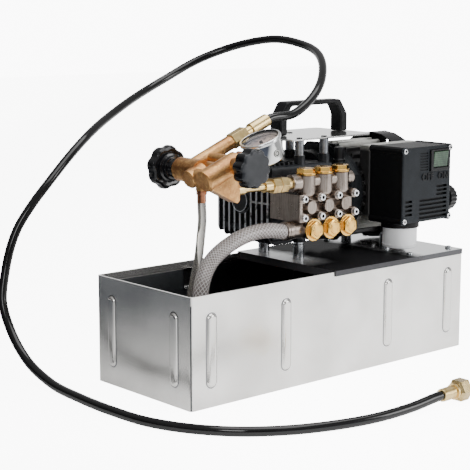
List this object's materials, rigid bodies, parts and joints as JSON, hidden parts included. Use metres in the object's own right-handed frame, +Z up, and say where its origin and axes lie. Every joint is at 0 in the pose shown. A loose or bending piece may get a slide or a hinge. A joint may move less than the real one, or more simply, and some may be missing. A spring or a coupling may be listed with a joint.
{
  "type": "electric pressure pump",
  "caption": "Electric pressure test pump: motor and plunger pump on an open water tank, with valve block, gauge, carry handle, suction and return hoses and a long test hose.",
  "frame": {"origin": "middle of the tank's underside", "axes": "+X along the tank towards the motor's fan, +Y away from the pump head's front, +Z up"},
  "size_m": [0.5866, 0.6373, 0.4369],
  "materials": {
    "amber_plug": "amber",
    "black_plastic": "satin",
    "black_rubber": "smooth",
    "braided_hose": "translucent, braided",
    "cap_brass": "machined",
    "charcoal_plastic": "fine grain",
    "clear_hose": "translucent",
    "clear_lens": "clear",
    "copper_brass": "machined, reddish",
    "dark_cast_aluminium": "cast, dark",
    "dial_enamel": "satin",
    "light_aluminium": "die cast",
    "nickel_brass": "nickel-toned forging",
    "pale_steel": "bright",
    "polished_deck": "polished",
    "screw_steel": "satin",
    "stainless_sheet": "satin",
    "steel_shaft": "ground",
    "switch_green": "translucent green",
    "valve_brass": "forged",
    "white_plastic": "satin",
    "zinc_post": "satin"
  },
  "bodies": {
    "pump_unit": {"tank_shell": "stainless_sheet", "deck_plate": "polished_deck", "deck_screw_1": "screw_steel", "deck_screw_2": "screw_steel", "deck_screw_3": "screw_steel", "deck_screw_4": "screw_steel", "support_post_1": "zinc_post", "support_post_2": "zinc_post", "support_post_3": "zinc_post", "support_post_4": "zinc_post", "crankcase": "dark_cast_aluminium", "crankshaft_end_cover": "dark_cast_aluminium", "crankcase_rear_cover": "dark_cast_aluminium", "oil_filler_cap": "black_plastic", "oil_drain_plug": "amber_plug", "pump_head": "nickel_brass", "delivery_valve_cap_1": "cap_brass", "delivery_valve_cap_2": "cap_brass", "delivery_valve_cap_3": "cap_brass", "suction_valve_cap_1": "cap_brass", "suction_valve_cap_2": "cap_brass", "suction_valve_cap_3": "cap_brass", "motor_housing": "light_aluminium", "motor_end_shield": "dark_cast_aluminium", "fan_cover": "black_plastic", "terminal_box_base": "light_aluminium", "terminal_box_cover": "charcoal_plastic", "switch_frame": "charcoal_plastic", "run_capacitor": "white_plastic", "cable_gland": "black_plastic", "top_plate": "pale_steel", "carry_handle": "black_plastic", "plate_post_1": "zinc_post", "plate_post_2": "zinc_post", "plate_post_3": "zinc_post", "plate_post_4": "zinc_post", "valve_body": "valve_brass", "gauge_case": "pale_steel", "gauge_bezel": "pale_steel", "gauge_dial": "dial_enamel", "gauge_lens": "clear_lens", "gauge_nut": "copper_brass", "delivery_fitting": "cap_brass", "outlet_fitting": "cap_brass", "return_barb": "white_plastic", "suction_tail": "zinc_post", "return_hose": "clear_hose", "suction_hose": "braided_hose", "suction_strainer": "black_plastic", "test_hose": "black_rubber", "test_hose_ferrule": "cap_brass"},
    "regulator_stem": {"regulator_spindle": "screw_steel"},
    "regulator_handwheel": {"regulator_knob": "black_plastic"},
    "shutoff_stem": {"shutoff_spindle": "screw_steel"},
    "shutoff_handwheel": {"shutoff_knob": "black_plastic"},
    "pointer": {"gauge_pointer": "black_plastic"},
    "rocker": {"rocker_switch": "switch_green"},
    "rotor": {"motor_shaft": "steel_shaft", "cooling_fan": "black_plastic"},
    "swivel_nut": {"test_hose_nut": "cap_brass"}
  },
  "joints": [
    {"name": "regulator_stem_travel", "type": "slide", "parent": "pump_unit", "child": "regulator_stem", "axis": [0, 1, 0], "range_m": [0, 0.0045]},
    {"name": "regulator_turn", "type": "hinge", "parent": "regulator_stem", "child": "regulator_handwheel", "pos_m": [-0.16885, 0.0455, 0.27679], "axis": [0, 1, 0], "range_deg": [0, 1080]},
    {"name": "shutoff_stem_travel", "type": "slide", "parent": "pump_unit", "child": "shutoff_stem", "axis": [0, -1, 0], "range_m": [0, 0.003]},
    {"name": "shutoff_turn", "type": "hinge", "parent": "shutoff_stem", "child": "shutoff_handwheel", "pos_m": [-0.14752, -0.082, 0.28541], "axis": [0, -1, 0], "range_deg": [0, 720]},
    {"name": "pointer_swing", "type": "hinge", "parent": "pump_unit", "child": "pointer", "pos_m": [-0.07984, -0.029, 0.31275], "axis": [-0.3746, 0, 0.9272], "range_deg": [-270, 0], "stiffness_Nm_per_rad": 0.0005},
    {"name": "rocker_tilt", "type": "hinge", "parent": "pump_unit", "child": "rocker", "pos_m": [0.20565, -0.0835, 0.2716], "axis": [1, 0, 0], "range_deg": [-8, 0]},
    {"name": "rotor_spin", "type": "hinge", "parent": "pump_unit", "child": "rotor", "pos_m": [0.2231, 0.051, 0.222], "axis": [1, 0, 0], "continuous": true},
    {"name": "nut_swivel", "type": "hinge", "parent": "pump_unit", "child": "swivel_nut", "pos_m": [0.01958, -0.27601, 0.01457], "axis": [0.9994, -0.02, 0.03], "continuous": true}
  ],
  "couplings": [
    {"joint": "regulator_stem_travel", "follows": "regulator_turn", "m_per_rad": 0.00023873},
    {"joint": "shutoff_stem_travel", "follows": "shutoff_turn", "m_per_rad": 0.00023873}
  ]
}
